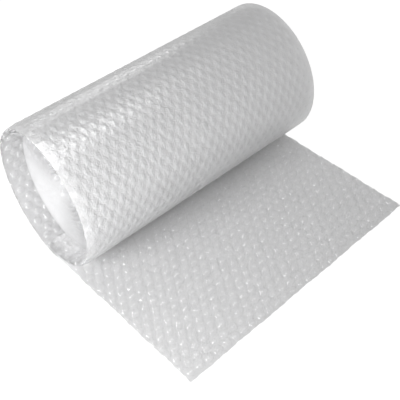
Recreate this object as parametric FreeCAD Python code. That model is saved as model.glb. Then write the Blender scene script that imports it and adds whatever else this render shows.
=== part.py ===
import FreeCAD, Part
import math
import os

# Roll of small-bubble cushioning film, standing on the floor with its free end rolled out flat.
# Millimetres, +Z up, floor at z = 0. The roll's axis runs along X and the free end runs towards -Y.
# The origin lies on the floor, under the axis and at the middle of the web's width.

# The web, which is the film with its bubbles
web_width = 300.0            # stock width, edge to edge
film_thickness = 0.8         # flat backing film, drawn thicker than the real plastic
bubble_height = 2.8          # bubble above the backing film
bubble_pitch = 10.8          # middle to middle along a row
bubble_crown = 0.56          # flat top of a bubble, as a share of its honeycomb cell
edge_margin = 1.0            # least width of flat film outside the bubbles

# The roll
roll_width = 144.0           # front to back
roll_height = 157.6          # floor to top
turn_pitch = 4.6             # from one turn to the next
hollow_width = 28.0          # open middle, where winding began
flat_spot = 0.17             # half-angle of the underside that the roll's weight presses flat, in radians

# Its left end is dished: the outer turns stand out past the edges of the inner ones
dish_depth = 21.0            # from the outer turns' edges to the inner ones
dish_start = 1.3             # turns from the outside that are in line with the free end
dish_turns = 0.7             # turns over which the dish falls to its depth

# The free end
tail_length = 200.4          # from under the axis to the cut, on the middle of the web
cut_slant = 8.2              # how much longer the free end is at its left edge than at its right
nip_length = 20.0            # length in front of the axis where the roll presses the bubbles flat

web_thickness = film_thickness + bubble_height
row_pitch = bubble_pitch * math.sqrt(3) / 2
cell_radius = bubble_pitch / math.sqrt(3)
flat_depth = flat_spot ** 2 / 2
start_half_width = roll_width / 2 + turn_pitch / 2
start_half_height = (roll_height + turn_pitch / 2) / (2 - flat_depth)
axis_height = start_half_height * (1 - flat_depth)
turns = (roll_width - hollow_width) / 2 / turn_pitch
left, right = -web_width / 2, web_width / 2


def flat_face(corners, hole=None):
    """Flat face between straight edges, with a hole in it if a ring of edges is given."""
    rim = Part.makePolygon(corners + corners[:1])
    return Part.Face([rim, hole] if hole else rim)


def dish_at(turn):
    """How far in from the end the left edge lies, this many turns from the outside."""
    share = min(max((turn - dish_start) / dish_turns, 0.0), 1.0)
    return dish_depth * share * share * (3 - 2 * share)


def web_point(turn, depth):
    """Point on the left edge of the web, this deep under its outer face.

    Winding starts under the axis, goes up the back, over the top and down the front.
    """
    if turn == 0:
        return FreeCAD.Vector(left, 0, depth)
    angle = 2 * math.pi * turn
    from_bottom = math.remainder(angle, 2 * math.pi)
    pressed = flat_depth * math.exp(-from_bottom ** 2 / (2 * flat_depth))
    share = 1 - turn_pitch * turn / start_half_width
    y = (start_half_width * share - depth) * math.sin(angle)
    z = axis_height - (start_half_height * share - depth) * (math.cos(angle) - pressed)
    return FreeCAD.Vector(left + dish_at(turn), y, z)


def folds():
    """Places along the winding where the web bends, which is between its rows of bubbles."""
    start_radius = (start_half_width + start_half_height) / 2
    turn = 0.0
    while turn < turns:
        yield turn
        radius = start_radius * (1 - turn_pitch * turn / start_half_width)
        turn += row_pitch / (2 * math.pi * radius)


def wound_faces():
    """Every turn: outer and inner side and both edges of the web, and the web's inner end."""
    def to_right(point):
        return FreeCAD.Vector(right, point.y, point.z)

    def over_web(one, other):
        return flat_face([one, other, to_right(other), to_right(one)])

    rims = [(web_point(turn, 0), web_point(turn, web_thickness)) for turn in folds()]
    faces = []
    for (outer, inner), (next_outer, next_inner) in zip(rims, rims[1:]):
        faces += [over_web(outer, next_outer), over_web(inner, next_inner)]
        for edge in [outer, next_outer, inner], [inner, next_outer, next_inner]:
            faces += [flat_face(edge), flat_face([to_right(corner) for corner in edge])]
    faces.append(over_web(*rims[-1]))
    return faces


def cut_at(x):
    """Distance from under the axis to the cut end, at this place across the web."""
    return tail_length - cut_slant * x / web_width


def bubble_centres():
    """Middles of the open bubbles, in staggered rows from the nip to the slanted cut."""
    across = int((web_width - 2 * edge_margin) / bubble_pitch - 0.5)
    longest = max(cut_at(left), cut_at(right))
    for row in range(int((longest - nip_length) / row_pitch)):
        stagger = 0.25 if row % 2 else -0.25
        reach = nip_length + edge_margin + cell_radius + row * row_pitch
        for place in range(across):
            x = (place - (across - 1) / 2 + stagger) * bubble_pitch
            if reach + cell_radius + edge_margin < cut_at(x):
                yield x, -reach


def cell(x, y, z, share=1.0):
    """Corners of the honeycomb cell about a bubble's middle, drawn in by a share."""
    radius = cell_radius * share
    angles = [math.radians(30 + 60 * corner) for corner in range(6)]
    return [FreeCAD.Vector(x + radius * math.cos(a), y + radius * math.sin(a), z) for a in angles]


def bubble_faces():
    """Open bubbles as six-sided domes whose feet touch, and the ring of edges round them all."""
    faces, feet = [], {}
    for x, y in bubble_centres():
        foot = cell(x, y, film_thickness)
        crown = cell(x, y, web_thickness, bubble_crown)
        faces.append(flat_face(crown))
        for i in range(6):
            j = (i + 1) % 6
            faces.append(flat_face([foot[i], foot[j], crown[j], crown[i]]))
            middle = (foot[i] + foot[j]) / 2
            shared = (round(middle.x, 3), round(middle.y, 3)) in feet
            feet[round(middle.x, 3), round(middle.y, 3)] = None if shared else (foot[i], foot[j])
    ring = [Part.makeLine(*ends) for ends in feet.values() if ends]
    return faces, Part.Wire(Part.__sortEdges__(ring))


def tail_faces():
    """Free end: pressed flat at the nip, then open bubbles up to the slanted cut."""
    def line(distance_left, distance_right, z):
        return [FreeCAD.Vector(left, -distance_left, z), FreeCAD.Vector(right, -distance_right, z)]

    under_axis, axis_top = line(0, 0, 0), line(0, 0, web_thickness)
    nip_top, nip_foot = (line(nip_length, nip_length, z) for z in (web_thickness, film_thickness))
    cut_top, cut_foot = (line(cut_at(left), cut_at(right), z) for z in (film_thickness, 0))
    faces, ring = bubble_faces()
    for one, other in (under_axis, cut_foot), (axis_top, nip_top), (nip_top, nip_foot), (cut_top, cut_foot):
        faces.append(flat_face(one + other[::-1]))
    faces.append(flat_face(nip_foot + cut_top[::-1], ring))
    for side in 0, 1:
        outline = [under_axis, axis_top, nip_top, nip_foot, cut_top, cut_foot]
        faces.append(flat_face([ends[side] for ends in outline]))
    return faces


def film_roll():
    """The whole web as one closed body."""
    skin = Part.Compound(wound_faces() + tail_faces())
    skin.sewShape(1e-4)
    return Part.Solid(skin.Shells[0])


os.makedirs("parts", exist_ok=True)
roll = film_roll()
roll.exportStep("parts/bubble_film_roll.step")
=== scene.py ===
"""Roll of small-bubble cushioning film with its free end rolled out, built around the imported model."""

import math
import random

import bpy
import numpy as np
from mathutils import Matrix, Vector


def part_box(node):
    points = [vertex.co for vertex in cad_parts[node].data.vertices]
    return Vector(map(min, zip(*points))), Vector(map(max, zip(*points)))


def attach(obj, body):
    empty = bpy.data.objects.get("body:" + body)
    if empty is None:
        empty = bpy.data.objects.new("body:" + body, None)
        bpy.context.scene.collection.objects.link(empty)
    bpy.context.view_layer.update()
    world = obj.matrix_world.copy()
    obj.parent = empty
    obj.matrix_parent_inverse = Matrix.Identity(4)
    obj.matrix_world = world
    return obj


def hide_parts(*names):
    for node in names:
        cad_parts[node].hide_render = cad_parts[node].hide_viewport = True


bl_info = {
    "name": "Bubble film roll",
    "version": (1, 0, 0),
    "blender": (4, 5, 0),
    "location": "View3D > Sidebar > Film roll",
    "description": "Looks for a roll of bubble film: its turns, its bubbles, the free end and the studio",
    "category": "Add Mesh",
}

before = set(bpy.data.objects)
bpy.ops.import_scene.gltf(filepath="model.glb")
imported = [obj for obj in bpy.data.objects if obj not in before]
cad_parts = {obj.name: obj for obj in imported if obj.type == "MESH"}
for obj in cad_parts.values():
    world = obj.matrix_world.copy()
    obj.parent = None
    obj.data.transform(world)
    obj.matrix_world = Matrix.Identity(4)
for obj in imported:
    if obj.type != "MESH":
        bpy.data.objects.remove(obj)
FILM_NODE = "bubble_film_roll"
LOW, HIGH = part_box(FILM_NODE)

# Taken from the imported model. All lengths are in metres.
WEB_WIDTH = HIGH[0] - LOW[0]
ROLL_HEIGHT = HIGH[2] - LOW[2]
TAIL_LEFT = -LOW[1]             # length of the free end at its left edge

# The web as the model winds it
ROLL_WIDTH = 0.144              # front to back
TURN_PITCH = 0.0046             # from one turn to the next
HOLLOW_WIDTH = 0.028            # open middle
FLAT_SPOT = 0.17                # half-angle that the roll's weight presses flat, in radians
DISH_DEPTH = 0.021              # how much further in the inner turns' left edges lie
DISH_START = 1.3                # turns from the outside where the dish begins
DISH_TURNS = 0.7                # turns over which it falls to its depth
CUT_SLANT = 0.0082              # how much longer the free end is at its left edge
NIP_LENGTH = 0.020              # length in front of the axis that is pressed flat
EDGE_MARGIN = 0.001             # least width of flat film outside the bubbles
STAGGER = 0.25                  # shift of each row to one side or the other, in bubble pitches
ROW_SHARE = math.sqrt(3) / 2    # from row to row, in bubble pitches

# The edges of the film
CURL_DEPTH = 0.0015             # how far the roll's left edge curls inwards
CURL_LENGTH = 0.012             # width of the stretch that curls
CURL_START = 0.05               # length of web on the roll over which the curl grows
CRUMPLE = 0.15                  # share of the curl that the crumples add or take, for each wave
CRUMPLE_WAVES = (0.0017, 0.0029, 0.0071)     # lengths of its waves, each over 2 pi
EDGE_WEAR = 0.0016              # most that the free end's edges are drawn in
WEAR_WAVES = (0.0015, 0.0037, 0.0127)        # lengths of its waves, each over 2 pi

# The pieces
OUTER_TURNS = 1.04              # turns in the outer piece, whose start then covers its end
INNER_STEP = 0.004              # spacing of the points on the inner turns
FILM_LIFT = 0.0003              # height of the free end's film above the floor
FOOT_LIFT = 0.0004              # height of its bubbles' feet above the floor
TAIL_GRID = (130, 190)          # points along and across the free end
FIRST_WOUND_ROW = 0.004         # least distance of a bubble on the roll from under the axis
LAST_WOUND_ROW = 0.006          # least distance of a bubble from the web's inner end
LAST_OPEN_ROW = 0.008           # least distance of a bubble on the free end from under the axis
LEFT_END_PLACES = 4             # bubbles to a row that show in the left end of the inner turns
RIGHT_END_PLACES = 2            # bubbles to a row that show in their right end
WOUND_SEGMENTS = 10             # sides of a bubble on the roll
OPEN_SEGMENTS = 16              # sides of a bubble on the free end

# The shape of a bubble
DOME_REACH = (1.0, 0.97, 0.88, 0.72, 0.50, 0.25)     # radii of its rings, as shares of its foot
DOME_FULLNESS = 2.6             # 2 is a round dome, and more gives it fuller shoulders
DOME_HEIGHTS = (0.88, 1.04)     # least and most, as shares of the bubble's height
DOME_WIDTHS = (0.96, 1.02)      # least and most, as shares of its radius
DOME_LEAN = 0.05                # spread of the slope of its top

# The outside of the roll
RIDGE_SHARE = 0.25              # share of the relief that is ridges, and the rest is bulges
RIGHT_END_CALM = 0.7            # share of the relief that is gone at the right end
PAINTED_LIGHT_LENGTH = 0.05              # length and width of the painted light on the free end, beside the roll at its left end
PAINTED_LIGHT_FROM_TURN = 0.3            # turn from which the inner turns grow paler with painted light
PAINTED_LIGHT_TURNS = 2.5                # turns over which they do

# The finish of the film
MOTTLE_SCALE = 90.0             # patches to a metre
MOTTLE_SHADES = (0.93, 1.05)    # darkest and lightest patch
MOTTLE_ROUGHNESS = 0.06         # what a patch adds to the roughness at most
CRINKLE_SCALE = 300.0           # crinkles to a metre
CRINKLE_HEIGHT = 0.001          # height of their bump
CRINKLE_AT_RIGHT_END = 0.15     # share of the crinkle that is left there
DULLER_RIGHT_END = 0.4          # what the missing crinkle adds to the roughness, for a crinkle of 1
SPOT_WIDTH = 0.11               # radius of a taut spot, in bubble pitches
SPOT_IOR = 3.0                  # makes a taut spot mirror more than the film round it
SPOT_ROUGHNESS = 0.12           # roughness of a taut spot

# The studio
AIM = (0.0, -0.05, 0.07)        # point that the lamps look at
FLOOR_HALF = 6.0                # half the width of the floor
FLOOR_GREY = 0.85               # colour of the floor as a surface
FLOOR_WHITE = 1.15              # strength with which it shows white to the camera
FLOOR_WHITE_SHARE = 0.85        # share of that white, and the rest takes the shadow
ROOM_LIGHT = 0.30               # strength of the light from all round
ROOM_WHITE = 1.05               # strength of the background that the camera sees

# The camera, worked out from the photograph's outlines
PHOTO_SIZE = 400.0              # width of the photograph in pixels
FOCAL_PIXELS = 833.1            # focal length in the same pixels
CAMERA_PLACE = (-0.3953, -0.5434, 0.6187)
CAMERA_YAW = 39.09              # degrees to the right of +Y
CAMERA_PITCH = 39.76            # degrees downwards
CAMERA_ROLL = -4.23             # degrees about the line of sight
CAMERA_SHIFT = -0.15            # share of the picture's width that the frame lies lower
SENSOR_WIDTH = 36.0             # millimetres

# Worked out from the sizes above
FLAT_DEPTH = FLAT_SPOT ** 2 / 2
START_HALF_WIDTH = ROLL_WIDTH / 2 + TURN_PITCH / 2
START_HALF_HEIGHT = (ROLL_HEIGHT + TURN_PITCH / 2) / (2 - FLAT_DEPTH)
AXIS_HEIGHT = START_HALF_HEIGHT * (1 - FLAT_DEPTH)
TURNS = (ROLL_WIDTH - HOLLOW_WIDTH) / 2 / TURN_PITCH
START_RADIUS = (START_HALF_WIDTH + START_HALF_HEIGHT) / 2
RADIUS_LOSS = START_RADIUS * TURN_PITCH / START_HALF_WIDTH


class FilmSettings(bpy.types.PropertyGroup):
    """Sizes of the bubbles and the film, and its colour."""

    bubble_pitch: bpy.props.FloatProperty(
        name="Bubble pitch", description="Middle to middle along a row", default=0.0108, unit="LENGTH"
    )
    bubble_radius: bpy.props.FloatProperty(
        name="Bubble radius", description="Foot of a bubble on the film", default=0.0049, unit="LENGTH"
    )
    bubble_height: bpy.props.FloatProperty(
        name="Bubble height", description="Top of a bubble above the film", default=0.0034, unit="LENGTH"
    )
    back_bulge: bpy.props.FloatProperty(
        name="Back bulge",
        description="How far the film stands out behind a bubble",
        default=0.00045,
        unit="LENGTH",
    )
    grid_step: bpy.props.FloatProperty(
        name="Grid step",
        description="Spacing of the points on the outer turn",
        default=0.0015,
        unit="LENGTH",
    )
    colour: bpy.props.FloatVectorProperty(
        name="Film colour",
        description="Colour of the film, which each material makes darker",
        default=(0.993, 0.993, 1.0),
        min=0.0,
        max=1.0,
        subtype="COLOR",
    )
    seed: bpy.props.IntProperty(name="Seed", description="Start of the random numbers", default=7)


def settings():
    """The sizes and the colour that the panel shows."""
    return bpy.context.scene.film_roll


# The shape of the web


def turn_at(distance):
    """Turns wound when this length of web has passed under the axis."""
    return (START_RADIUS - np.sqrt(START_RADIUS ** 2 - RADIUS_LOSS * distance / math.pi)) / RADIUS_LOSS


def distance_at(turn):
    """Length of web that has passed under the axis when this many turns are wound."""
    return 2 * math.pi * (START_RADIUS * turn - RADIUS_LOSS * turn ** 2 / 2)


def web_points(distance, across, depth):
    """Points of the web in metres, as an array.

    distance runs along the web from under the axis, positive on the roll and negative on the free
    end. across is the place over the width and depth is measured from the outer face, which lies
    on the floor along the free end. The floor presses flat what would reach below it.
    """
    distance, across, depth = np.broadcast_arrays(*map(np.asarray, (distance, across, depth)))
    turn = turn_at(np.maximum(distance, 0.0))
    depth = depth + curl(distance, across)
    angle = 2 * math.pi * turn
    from_bottom = np.mod(angle + math.pi, 2 * math.pi) - math.pi
    pressed = FLAT_DEPTH * np.exp(-from_bottom ** 2 / (2 * FLAT_DEPTH))
    share = 1 - TURN_PITCH * turn / START_HALF_WIDTH
    y = (START_HALF_WIDTH * share - depth) * np.sin(angle)
    z = AXIS_HEIGHT - (START_HALF_HEIGHT * share - depth) * (np.cos(angle) - pressed)
    on_tail = distance < 0
    y = np.where(on_tail, distance, y)
    z = np.maximum(np.where(on_tail, depth, z), 0.0)
    return np.stack([across, y, z], axis=-1)


def uneven_waves(place, lengths):
    """Sum of waves from -1 to 1 that never repeat together, as each has a length of its own."""
    return sum(np.sin(place / length + phase) for phase, length in enumerate(lengths))


def curl(distance, across):
    """How far the left end of the wound film curls inwards, which rounds the roll's shoulder.

    The edge is crumpled too, by uneven waves.
    """
    near_edge = np.clip(1 - (across + WEB_WIDTH / 2) / CURL_LENGTH, 0, 1)
    crumpled = 1 + CRUMPLE * uneven_waves(distance, CRUMPLE_WAVES)
    return CURL_DEPTH * near_edge ** 2 * crumpled * np.clip(distance / CURL_START, 0, 1)


def edge_wear(place):
    """How far the edges of the free end are drawn in at this place along them."""
    return EDGE_WEAR * (0.5 + uneven_waves(place, WEAR_WAVES) / (2 * len(WEAR_WAVES)))


def left_edge(distance):
    """Place of the web's left edge, which the dish draws in on the inner turns."""
    fall = np.clip((turn_at(np.maximum(distance, 0.0)) - DISH_START) / DISH_TURNS, 0, 1)
    return DISH_DEPTH * fall * fall * (3 - 2 * fall) - WEB_WIDTH / 2


def half_width_at(distance, across):
    """Half the width of the web, which is worn at the edges of the free end.

    The place across tells the left edge from the right one, as each is worn in its own way.
    """
    open_share = np.clip(-distance / NIP_LENGTH, 0, 1)
    return WEB_WIDTH / 2 - edge_wear(distance + across) * open_share


def cut_at(across):
    """Length of the free end at this place across the web."""
    return TAIL_LEFT - CUT_SLANT * (across / WEB_WIDTH + 0.5) - edge_wear(across)


def paleness(distance, across):
    """Share of the film's paler tint, which is painted light, in part the milkier look that many layers
    of film behind it give.

    On the outer turn it grows over a short way from the left edge, which it leaves darker as painted
    shade, and on the turns just inside that one over a longer way, which paints the bright light in
    the dish. On the free end it is only beside the roll at its left end, as painted light.
    """
    inside = (across + WEB_WIDTH / 2) / DISH_DEPTH
    wound = turn_at(np.maximum(distance, 0.0))
    deeper = np.clip((wound - PAINTED_LIGHT_FROM_TURN) / PAINTED_LIGHT_TURNS, 0, 1)
    inside = inside * np.where(wound > OUTER_TURNS, deeper, 1.0)
    near_roll = np.clip(1 + distance / PAINTED_LIGHT_LENGTH, 0, 1)
    near_left = np.clip(1 - (across + WEB_WIDTH / 2) / PAINTED_LIGHT_LENGTH, 0, 1)
    share = np.clip(np.where(distance > 0, inside, near_roll * near_left), 0, 1)
    return share * share * (3 - 2 * share)


# The rows of bubbles


def row_spacing():
    """Distance along the web from one row of bubbles to the next."""
    return settings().bubble_pitch * ROW_SHARE


def first_row():
    """Distance along the web of the first open row, in front of the nip."""
    return -NIP_LENGTH - EDGE_MARGIN - settings().bubble_pitch / math.sqrt(3)


def whole_in_row():
    """Number of bubbles in a row, without the one that its edge cuts."""
    return int((WEB_WIDTH - 2 * EDGE_MARGIN) / settings().bubble_pitch - 0.5)


def places_in_row(row, cut=False):
    """Places across the web of the bubbles of one row, with the one that its edge cuts if asked."""
    stagger = STAGGER if row % 2 else -STAGGER
    places = np.arange(whole_in_row()) - (whole_in_row() - 1) / 2 + stagger
    if cut:
        extra = places[0] - 1 if stagger > 0 else places[-1] + 1
        places = np.sort(np.append(places, extra))
    return places * settings().bubble_pitch


def rows_between(start, end):
    """(row, distance) of every row of bubbles between two distances along the web."""
    spacing = row_spacing()
    low = math.ceil((first_row() - end) / spacing)
    high = math.floor((first_row() - start) / spacing)
    return [(row, first_row() - row * spacing) for row in range(low, high + 1)]


def from_nearest_bubble(distance, across):
    """How far each point of the web is from the middle of the bubble nearest to it."""
    pitch, spacing = settings().bubble_pitch, row_spacing()
    half_row = (whole_in_row() - 1) / 2
    nearest = np.full(np.broadcast(distance, across).shape, 1.0)
    for step in (-1, 0, 1):
        row = np.round((first_row() - distance) / spacing) + step
        stagger = np.where(np.mod(row, 2) == 1, STAGGER, -STAGGER)
        column = np.clip(np.round(across / pitch + half_row - stagger), 0, whole_in_row() - 1)
        middle = (column - half_row + stagger) * pitch
        off = np.hypot(distance - (first_row() - row * spacing), across - middle)
        nearest = np.minimum(nearest, off)
    return nearest


def back_relief(distance, across):
    """Height of the low bulges that the bubbles raise on the film's outer face.

    Winding pulls the film into faint ridges over the columns of bubbles, which lie half a pitch
    apart. Both are lower towards the right end, where the film lies smoother.
    """
    s = settings()
    bulge = np.clip(1 - (from_nearest_bubble(distance, across) / s.bubble_radius) ** 2, 0, 1)
    ridge = 0.5 + 0.5 * np.cos(4 * math.pi * (across / s.bubble_pitch + STAGGER))
    smooth = 1 - RIGHT_END_CALM * (across / WEB_WIDTH + 0.5)
    return s.back_bulge * smooth * (RIDGE_SHARE * ridge + (1 - RIDGE_SHARE) * bulge)


# Meshes


def mesh_object(name, points, faces, material, smooth=True, **values):
    """Object from its points and faces. Each further value is kept on the points for the material."""
    mesh = bpy.data.meshes.new(name)
    mesh.from_pydata([tuple(p) for p in np.reshape(points, (-1, 3))], [], faces)
    for value_name, value in values.items():
        mesh.attributes.new(value_name, "FLOAT", "POINT").data.foreach_set("value", np.ravel(value))
    mesh.materials.append(material)
    mesh.polygons.foreach_set("use_smooth", [smooth] * len(mesh.polygons))
    mesh.update()
    piece = bpy.data.objects.new(name, mesh)
    bpy.context.scene.collection.objects.link(piece)
    return piece


def ride_on_model(piece):
    """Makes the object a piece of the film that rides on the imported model."""
    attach(piece, "root")
    return piece


def grid_faces(rows, columns):
    """Four-sided faces between the points of a grid, which are given row by row."""
    faces = []
    for r in range(rows - 1):
        for c in range(columns - 1):
            a = r * columns + c
            faces.append((a, a + columns, a + columns + 1, a + 1))
    return faces


def wound_surface(name, start, end, step_along, step_across, bulge, material):
    """Outer face of the wound web between two distances, with the bulges of the bubbles if asked."""
    along = np.linspace(start, end, max(2, round((end - start) / step_along) + 1))
    share = np.linspace(0, 1, max(2, round(WEB_WIDTH / step_across) + 1))
    distance, from_left = np.meshgrid(along, share, indexing="ij")
    across = WEB_WIDTH / 2 * from_left + left_edge(distance) * (1 - from_left)
    lift = back_relief(distance, across) if bulge else 0.0
    points = web_points(distance, across, -lift)
    values = {
        # share of the paler tint, which is painted light
        "pale": paleness(distance, across),
        "bubbles_along": (first_row() - distance) / row_spacing(),
        "bubbles_across": across / settings().bubble_pitch,
    }
    return mesh_object(name, points, grid_faces(len(along), len(share)), material, **values)


def dome_shape(segments):
    """Unit dome as (along, across, height) points and faces, foot first and crown last."""
    points = []
    for reach in DOME_REACH:
        rise = math.sqrt(1 - reach ** DOME_FULLNESS)
        for i in range(segments):
            a = 2 * math.pi * i / segments
            points.append((reach * math.cos(a), reach * math.sin(a), rise))
    points.append((0.0, 0.0, 1.0))
    faces = []
    for ring in range(len(DOME_REACH) - 1):
        for i in range(segments):
            j = (i + 1) % segments
            a, b = ring * segments + i, ring * segments + j
            faces.append((a, b, b + segments, a + segments))
    top = len(points) - 1
    last = top - segments
    faces += [(last + i, last + (i + 1) % segments, top) for i in range(segments)]
    return np.array(points), faces


def bubbles(name, centres, material, segments, foot_depth=0.0):
    """Domes standing on the inner face of the web, each a little different.

    What would reach past the web's edges or the cut is cut off there.
    """
    s = settings()
    rng = random.Random(s.seed + len(centres))
    shape, shape_faces = dome_shape(segments)
    points, faces, pale = [], [], []
    for distance, across in centres:
        tall = s.bubble_height * rng.uniform(*DOME_HEIGHTS)
        wide = s.bubble_radius * rng.uniform(*DOME_WIDTHS)
        lean_along, lean_across = rng.gauss(0, DOME_LEAN), rng.gauss(0, DOME_LEAN)
        depth = shape[:, 2] * tall * (1 + lean_along * shape[:, 0] + lean_across * shape[:, 1])
        along = distance + shape[:, 0] * wide
        half_width = half_width_at(along, across)
        over = np.clip(across + shape[:, 1] * wide, -half_width, half_width)
        along = np.maximum(along, -cut_at(over))
        points.append(web_points(along, over, foot_depth + depth))
        # share of the paler tint, which is painted light
        pale.append(paleness(along, over))
        offset = (len(points) - 1) * len(shape)
        faces += [tuple(v + offset for v in face) for face in shape_faces]
    return mesh_object(name, np.concatenate(points), faces, material, pale=np.concatenate(pale))


# Materials


def reckon(tree, operation, *values):
    """Adds a sum to the node tree and gives its result. A value is a socket or a plain number."""
    sum_node = tree.nodes.new("ShaderNodeMath")
    sum_node.operation = operation
    for socket, value in zip(sum_node.inputs, values):
        if isinstance(value, bpy.types.NodeSocket):
            tree.links.new(value, socket)
        else:
            socket.default_value = value
    return sum_node.outputs["Value"]


def point_value(group, name):
    """The value that mesh_object kept on the points under this name."""
    node = group.nodes.new("ShaderNodeAttribute")
    node.attribute_name = name
    return node.outputs["Fac"]


def noise(group, where, scale, detail, distortion=0.0):
    """Uneven pattern from 0 to 1 over the piece."""
    texture = group.nodes.new("ShaderNodeTexNoise")
    texture.inputs["Scale"].default_value = scale
    texture.inputs["Detail"].default_value = detail
    texture.inputs["Distortion"].default_value = distortion
    group.links.new(where, texture.inputs["Vector"])
    return texture.outputs["Fac"]


def spread(group, value, start, end, start_value, end_value):
    """Goes evenly from one value to the other while the given one goes from start to end."""
    node = group.nodes.new("ShaderNodeMapRange")
    node.inputs["From Min"].default_value = start
    node.inputs["From Max"].default_value = end
    node.inputs["To Min"].default_value = start_value
    node.inputs["To Max"].default_value = end_value
    group.links.new(value, node.inputs["Value"])
    return node.outputs["Result"]


def taut_spots(group):
    """One in the middle of the small spot where each bubble pulls the film taut, and falling round it."""
    row_place = point_value(group, "bubbles_along")
    row = reckon(group, "ROUND", row_place)
    odd = reckon(group, "FLOORED_MODULO", row, 2.0)
    stagger = reckon(group, "MULTIPLY_ADD", odd, 2 * STAGGER, -STAGGER)
    shifted = reckon(group, "SUBTRACT", point_value(group, "bubbles_across"), stagger)
    off_across = reckon(group, "SUBTRACT", shifted, reckon(group, "ROUND", shifted))
    off_along = reckon(group, "MULTIPLY", reckon(group, "SUBTRACT", row_place, row), ROW_SHARE)
    squares = [reckon(group, "MULTIPLY", off, off) for off in (off_across, off_along)]
    fall = reckon(group, "DIVIDE", reckon(group, "ADD", *squares), -SPOT_WIDTH ** 2)
    return reckon(group, "EXPONENT", fall)


def mottled_tint(group, tint, pale_tint, mottle):
    """The tint, or the paler one that paints light where the points say so, a little uneven in its shade.
    """
    # the paler tint is painted light
    paler = group.nodes.new("ShaderNodeMix")
    paler.data_type = "RGBA"
    group.links.new(point_value(group, "pale"), paler.inputs["Factor"])
    group.links.new(tint, paler.inputs["A"])
    group.links.new(pale_tint, paler.inputs["B"])
    shaded = group.nodes.new("ShaderNodeVectorMath")
    shaded.operation = "SCALE"
    group.links.new(paler.outputs["Result"], shaded.inputs[0])
    group.links.new(spread(group, mottle, 0.0, 1.0, *MOTTLE_SHADES), shaded.inputs["Scale"])
    return shaded.outputs["Vector"]


def film_finish():
    """Shared group: the film's tint with its paler tint of painted light, its roughness, its taut spots
    as a coat, and its fine crinkle.
    """
    group = bpy.data.node_groups.new("film_finish", "ShaderNodeTree")
    # the second tint is a paler copy of the first, which paints light
    for name in ("Tint", "Painted Light Tint"):
        group.interface.new_socket(name, in_out="INPUT", socket_type="NodeSocketColor")
    for name in ("Least Roughness", "Crinkle", "Taut Spots"):
        group.interface.new_socket(name, in_out="INPUT", socket_type="NodeSocketFloat")
    group.interface.new_socket("Base Color", in_out="OUTPUT", socket_type="NodeSocketColor")
    for name in ("Roughness", "Coat Weight"):
        group.interface.new_socket(name, in_out="OUTPUT", socket_type="NodeSocketFloat")
    group.interface.new_socket("Normal", in_out="OUTPUT", socket_type="NodeSocketVector")
    nodes, links = group.nodes, group.links
    given = nodes.new("NodeGroupInput").outputs
    result = nodes.new("NodeGroupOutput").inputs
    where = nodes.new("ShaderNodeTexCoord").outputs["Object"]
    mottle = noise(group, where, MOTTLE_SCALE, detail=3.0)
    wrinkle = noise(group, where, CRINKLE_SCALE, detail=2.0, distortion=0.8)
    links.new(mottled_tint(group, given["Tint"], given["Painted Light Tint"], mottle), result["Base Color"])

    axes = nodes.new("ShaderNodeSeparateXYZ")
    links.new(where, axes.inputs["Vector"])
    across = axes.outputs["X"]
    crinkled = spread(group, across, -WEB_WIDTH / 2, WEB_WIDTH / 2, 1.0, CRINKLE_AT_RIGHT_END)
    missing = reckon(group, "MULTIPLY", reckon(group, "SUBTRACT", 1.0, crinkled), given["Crinkle"])
    roughness = reckon(group, "MULTIPLY_ADD", missing, DULLER_RIGHT_END, given["Least Roughness"])
    roughness = reckon(group, "MULTIPLY_ADD", mottle, MOTTLE_ROUGHNESS, roughness)
    links.new(roughness, result["Roughness"])
    links.new(reckon(group, "MULTIPLY", given["Taut Spots"], taut_spots(group)), result["Coat Weight"])

    bump = nodes.new("ShaderNodeBump")
    bump.inputs["Distance"].default_value = CRINKLE_HEIGHT
    links.new(crinkled, bump.inputs["Strength"])
    links.new(reckon(group, "MULTIPLY", given["Crinkle"], wrinkle), bump.inputs["Height"])
    links.new(bump.outputs["Normal"], result["Normal"])
    return group


def film_colour(lightness):
    """This share of the film's colour."""
    return tuple(lightness * part for part in settings().colour) + (1.0,)


def new_film_material(name, tint, pale_tint, roughness, ior, alpha, through=0.0, crinkle=0.0, spots=0.0):
    """Milky polyethylene: a glossy skin, light scattered through it, and some of what is behind."""
    material = bpy.data.materials.new(name)
    material.use_nodes = True
    nodes, links = material.node_tree.nodes, material.node_tree.links
    skin = nodes["Principled BSDF"]
    skin.inputs["IOR"].default_value = ior
    skin.inputs["Alpha"].default_value = alpha
    finish = nodes.new("ShaderNodeGroup")
    finish.node_tree = bpy.data.node_groups.get("film_finish") or film_finish()
    finish.inputs["Tint"].default_value = film_colour(tint)
    # the paler tint paints light where the points say so
    finish.inputs["Painted Light Tint"].default_value = film_colour(pale_tint)
    finish.inputs["Least Roughness"].default_value = roughness
    finish.inputs["Crinkle"].default_value = crinkle
    finish.inputs["Taut Spots"].default_value = spots
    outputs = ["Base Color", "Roughness"]
    if crinkle:
        outputs.append("Normal")
    if spots:
        outputs.append("Coat Weight")
        skin.inputs["Coat IOR"].default_value = SPOT_IOR
        skin.inputs["Coat Roughness"].default_value = SPOT_ROUGHNESS
    for output in outputs:
        links.new(finish.outputs[output], skin.inputs[output])
    milk = nodes.new("ShaderNodeBsdfTranslucent")
    links.new(finish.outputs["Base Color"], milk.inputs["Color"])
    both = nodes.new("ShaderNodeMixShader")
    both.inputs["Fac"].default_value = through
    links.new(skin.outputs["BSDF"], both.inputs[1])
    links.new(milk.outputs["BSDF"], both.inputs[2])
    links.new(both.outputs["Shader"], nodes["Material Output"].inputs["Surface"])
    return material


def film_material(name, **finish):
    """The material of this name, which is made when it is first asked for."""
    return bpy.data.materials.get(name) or new_film_material(name, **finish)


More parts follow.
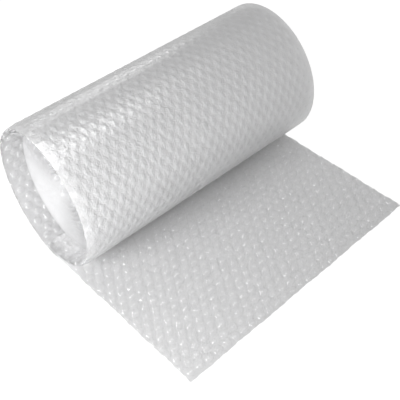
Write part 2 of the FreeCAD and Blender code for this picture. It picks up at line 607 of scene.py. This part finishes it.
# Each material's paler tint is painted light, drawn where the points say so.
def outer_film():
    """Film outside the roll: crinkled, with a taut glossy spot behind each bubble."""
    looks = dict(tint=0.61, pale_tint=0.77, roughness=0.15, ior=1.7, alpha=0.92)
    return film_material("outer_film", **looks, through=0.15, crinkle=0.60, spots=0.55)


def inner_film():
    """Film of the turns inside, of which only the edges and the first turn show."""
    looks = dict(tint=0.54, pale_tint=0.73, roughness=0.32, ior=1.4, alpha=1.0)
    return film_material("inner_film", **looks, through=0.20, crinkle=0.3)


def tail_film():
    """Film of the free end, under the bubbles."""
    looks = dict(tint=0.55, pale_tint=0.74, roughness=0.35, ior=1.4, alpha=0.95)
    return film_material("tail_film", **looks, crinkle=0.15)


def bubble_film():
    """Thin clear film of the bubbles on the free end and inside the outer turn."""
    return film_material("bubble_film", tint=0.85, pale_tint=0.85, roughness=0.03, ior=2.8, alpha=0.09)


def inner_bubble_film():
    """The same on the turns inside, milkier because many bubbles lie behind each other."""
    looks = dict(tint=0.90, pale_tint=0.92, roughness=0.05, ior=2.8, alpha=0.12)
    return film_material("inner_bubble_film", **looks, through=0.04)


# Pieces


class FILM_OT_outer_turn(bpy.types.Operator):
    """Adds the outermost turn of film with the bulges of the bubbles behind it."""

    bl_idname = "film.outer_turn"
    bl_label = "Outer turn"

    def execute(self, context):
        step = settings().grid_step
        end = distance_at(OUTER_TURNS)
        piece = wound_surface("outer_turn", 0.0, end, step, step, True, outer_film())
        ride_on_model(piece)
        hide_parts(FILM_NODE)
        return {"FINISHED"}


class FILM_OT_wound_film(bpy.types.Operator):
    """Adds the film of all the turns inside the outermost one."""

    bl_idname = "film.wound_film"
    bl_label = "Inner turns"

    def execute(self, context):
        start, end = distance_at(OUTER_TURNS), distance_at(TURNS)
        ride_on_model(wound_surface("wound_film", start, end, INNER_STEP, WEB_WIDTH, False, inner_film()))
        return {"FINISHED"}


class FILM_OT_wound_bubbles(bpy.types.Operator):
    """Adds the bubbles on the turns, all over the outer one and near both ends of the rest."""

    bl_idname = "film.wound_bubbles"
    bl_label = "Bubbles of the turns"

    def execute(self, context):
        outer_end = distance_at(OUTER_TURNS)
        outer = [
            (distance, x)
            for row, distance in rows_between(FIRST_WOUND_ROW, outer_end)
            for x in places_in_row(row, cut=True)
        ]
        ride_on_model(bubbles("outer_turn_bubbles", outer, bubble_film(), WOUND_SEGMENTS))
        left, right = [], []
        for row, distance in rows_between(outer_end, distance_at(TURNS) - LAST_WOUND_ROW):
            places = places_in_row(row)
            on_film = places[places - settings().bubble_radius > left_edge(distance)]
            left += [(distance, x) for x in on_film[:LEFT_END_PLACES]]
            right += [(distance, x) for x in places_in_row(row, cut=True)[-RIGHT_END_PLACES:]]
        ride_on_model(bubbles("left_end_bubbles", left, inner_bubble_film(), WOUND_SEGMENTS))
        ride_on_model(bubbles("right_end_bubbles", right, inner_bubble_film(), WOUND_SEGMENTS))
        return {"FINISHED"}


class FILM_OT_tail(bpy.types.Operator):
    """Adds the free end: the flat film on the floor and the open bubbles on it."""

    bl_idname = "film.tail"
    bl_label = "Free end"

    def execute(self, context):
        ride_on_model(self.backing())
        open_bubbles = [
            (distance, x)
            for row, distance in rows_between(-TAIL_LEFT, -LAST_OPEN_ROW)
            for x in places_in_row(row, cut=True)
            if -distance < cut_at(x)
        ]
        ride_on_model(bubbles("tail_bubbles", open_bubbles, bubble_film(), OPEN_SEGMENTS, FOOT_LIFT))
        return {"FINISHED"}

    def backing(self):
        """The flat film, cut on a slant and worn at its edges, as one thin sheet."""
        rows, columns = TAIL_GRID
        along = np.linspace(0, 1, rows)
        places = np.linspace(-WEB_WIDTH / 2, WEB_WIDTH / 2, columns)
        share, across = np.meshgrid(along, places, indexing="ij")
        distance = -share * cut_at(across)
        across = across * half_width_at(distance, across) / (WEB_WIDTH / 2)
        points = web_points(distance, across, FILM_LIFT)
        # share of the paler tint, which is painted light
        pale = paleness(distance, across)
        return mesh_object("tail_film", points, grid_faces(rows, columns), tail_film(), pale=pale)


# Studio


class FILM_OT_studio(bpy.types.Operator):
    """Adds the floor, the lamps, the world and the camera."""

    bl_idname = "film.studio"
    bl_label = "Studio"

    def execute(self, context):
        self.floor()
        self.world()
        self.lamp("left_light", (-0.95, -0.22, 0.45), size=0.50, power=13.2)
        self.lamp("low_left_light", (-0.60, -0.22, 0.12), size=0.25, power=2.3)
        self.lamp("right_light", (0.95, 0.15, 0.12), size=0.30, power=4.0, gloss=False)
        self.lamp("sheen_light", (-0.05, -0.10, 1.15), size=0.80, power=8.0, only_gloss=True)
        self.lamp("back_light", (0.45, 1.05, 0.50), size=0.40, power=1.5, only_gloss=True)
        self.lamp("sparkle_light", (-0.50, 0.50, 1.05), size=0.22, power=5.0, only_gloss=True)
        self.camera()
        context.scene.view_settings.view_transform = "Standard"
        # Light passes through many layers of film before it is lost
        context.scene.cycles.transparent_max_bounces = 24
        context.scene.cycles.max_bounces = 10
        return {"FINISHED"}

    def floor(self):
        """Pale floor that shows almost white and still takes the roll's shadow."""
        half = FLOOR_HALF
        points = [(-half, -half, 0), (half, -half, 0), (half, half, 0), (-half, half, 0)]
        material = bpy.data.materials.new("floor_paper")
        material.use_nodes = True
        nodes, links = material.node_tree.nodes, material.node_tree.links
        paper = nodes["Principled BSDF"]
        paper.inputs["Base Color"].default_value = (FLOOR_GREY, FLOOR_GREY, FLOOR_GREY, 1)
        paper.inputs["Roughness"].default_value = 0.9
        paper.inputs["Specular IOR Level"].default_value = 0.0
        white = nodes.new("ShaderNodeEmission")
        white.inputs["Color"].default_value = (1, 1, 1, 1)
        white.inputs["Strength"].default_value = FLOOR_WHITE
        looked_at = self.looked_at(material.node_tree)
        mix = nodes.new("ShaderNodeMixShader")
        links.new(reckon(material.node_tree, "MULTIPLY", looked_at, FLOOR_WHITE_SHARE), mix.inputs["Fac"])
        links.new(paper.outputs["BSDF"], mix.inputs[1])
        links.new(white.outputs["Emission"], mix.inputs[2])
        links.new(mix.outputs["Shader"], nodes["Material Output"].inputs["Surface"])
        return mesh_object("floor", points, [(0, 1, 2, 3)], material, smooth=False)

    def world(self):
        """Soft light from all round, and a white background where the camera looks."""
        world = bpy.data.worlds.new("studio")
        world.use_nodes = True
        nodes, links = world.node_tree.nodes, world.node_tree.links
        room = nodes["Background"]
        room.inputs["Color"].default_value = (1, 1, 1, 1)
        room.inputs["Strength"].default_value = ROOM_LIGHT
        paper = nodes.new("ShaderNodeBackground")
        paper.inputs["Color"].default_value = (1, 1, 1, 1)
        paper.inputs["Strength"].default_value = ROOM_WHITE
        mix = nodes.new("ShaderNodeMixShader")
        links.new(self.looked_at(world.node_tree), mix.inputs["Fac"])
        links.new(room.outputs["Background"], mix.inputs[1])
        links.new(paper.outputs["Background"], mix.inputs[2])
        links.new(mix.outputs["Shader"], nodes["World Output"].inputs["Surface"])
        bpy.context.scene.world = world

    def looked_at(self, tree):
        """One where the camera sees the place, itself or in a gloss, and nothing for other light."""
        seen = tree.nodes.new("ShaderNodeLightPath")
        return reckon(tree, "MAXIMUM", seen.outputs["Is Camera Ray"], seen.outputs["Is Glossy Ray"])

    def lamp(self, name, place, size, power, gloss=True, only_gloss=False):
        """Square lamp that looks at the roll, with or without highlights, or for highlights only."""
        data = bpy.data.lights.new(name, "AREA")
        data.shape = "SQUARE"
        data.size = size
        data.energy = power
        light = bpy.data.objects.new(name, data)
        light.location = place
        aim = Vector(AIM) - light.location
        light.rotation_euler = aim.to_track_quat("-Z", "Y").to_euler()
        light.visible_diffuse = light.visible_transmission = not only_gloss
        light.visible_glossy = gloss
        bpy.context.scene.collection.objects.link(light)

    def camera(self):
        """Camera at the photograph's own angle."""
        data = bpy.data.cameras.new("camera")
        data.sensor_width = SENSOR_WIDTH
        data.lens = FOCAL_PIXELS / PHOTO_SIZE * SENSOR_WIDTH
        data.shift_y = CAMERA_SHIFT
        data.clip_start, data.clip_end = 0.05, 30
        camera = bpy.data.objects.new("camera", data)
        turn = (
            Matrix.Rotation(-math.radians(CAMERA_YAW), 4, "Z")
            @ Matrix.Rotation(math.pi / 2 - math.radians(CAMERA_PITCH), 4, "X")
            @ Matrix.Rotation(math.radians(CAMERA_ROLL), 4, "Z")
        )
        camera.matrix_world = Matrix.Translation(CAMERA_PLACE) @ turn
        bpy.context.scene.collection.objects.link(camera)
        bpy.context.scene.camera = camera


class FILM_PT_panel(bpy.types.Panel):
    """Sidebar panel with the sizes and the steps."""

    bl_idname = "FILM_PT_panel"
    bl_label = "Film roll"
    bl_space_type = "VIEW_3D"
    bl_region_type = "UI"
    bl_category = "Film roll"

    def draw(self, context):
        column = self.layout.column(align=True)
        for name in FilmSettings.__annotations__:
            column.prop(context.scene.film_roll, name)
        for step in STEPS:
            column.operator(step.bl_idname)


STEPS = (FILM_OT_outer_turn, FILM_OT_wound_film, FILM_OT_wound_bubbles, FILM_OT_tail, FILM_OT_studio)
CLASSES = (FilmSettings, *STEPS, FILM_PT_panel)


def register():
    for cls in CLASSES:
        bpy.utils.register_class(cls)
    bpy.types.Scene.film_roll = bpy.props.PointerProperty(type=FilmSettings)


def unregister():
    del bpy.types.Scene.film_roll
    for cls in reversed(CLASSES):
        bpy.utils.unregister_class(cls)


def main():
    register()
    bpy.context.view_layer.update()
    bpy.ops.film.outer_turn()
    bpy.ops.film.wound_film()
    bpy.ops.film.wound_bubbles()
    bpy.ops.film.tail()
    bpy.ops.film.studio()


if __name__ == "__main__":
    main()
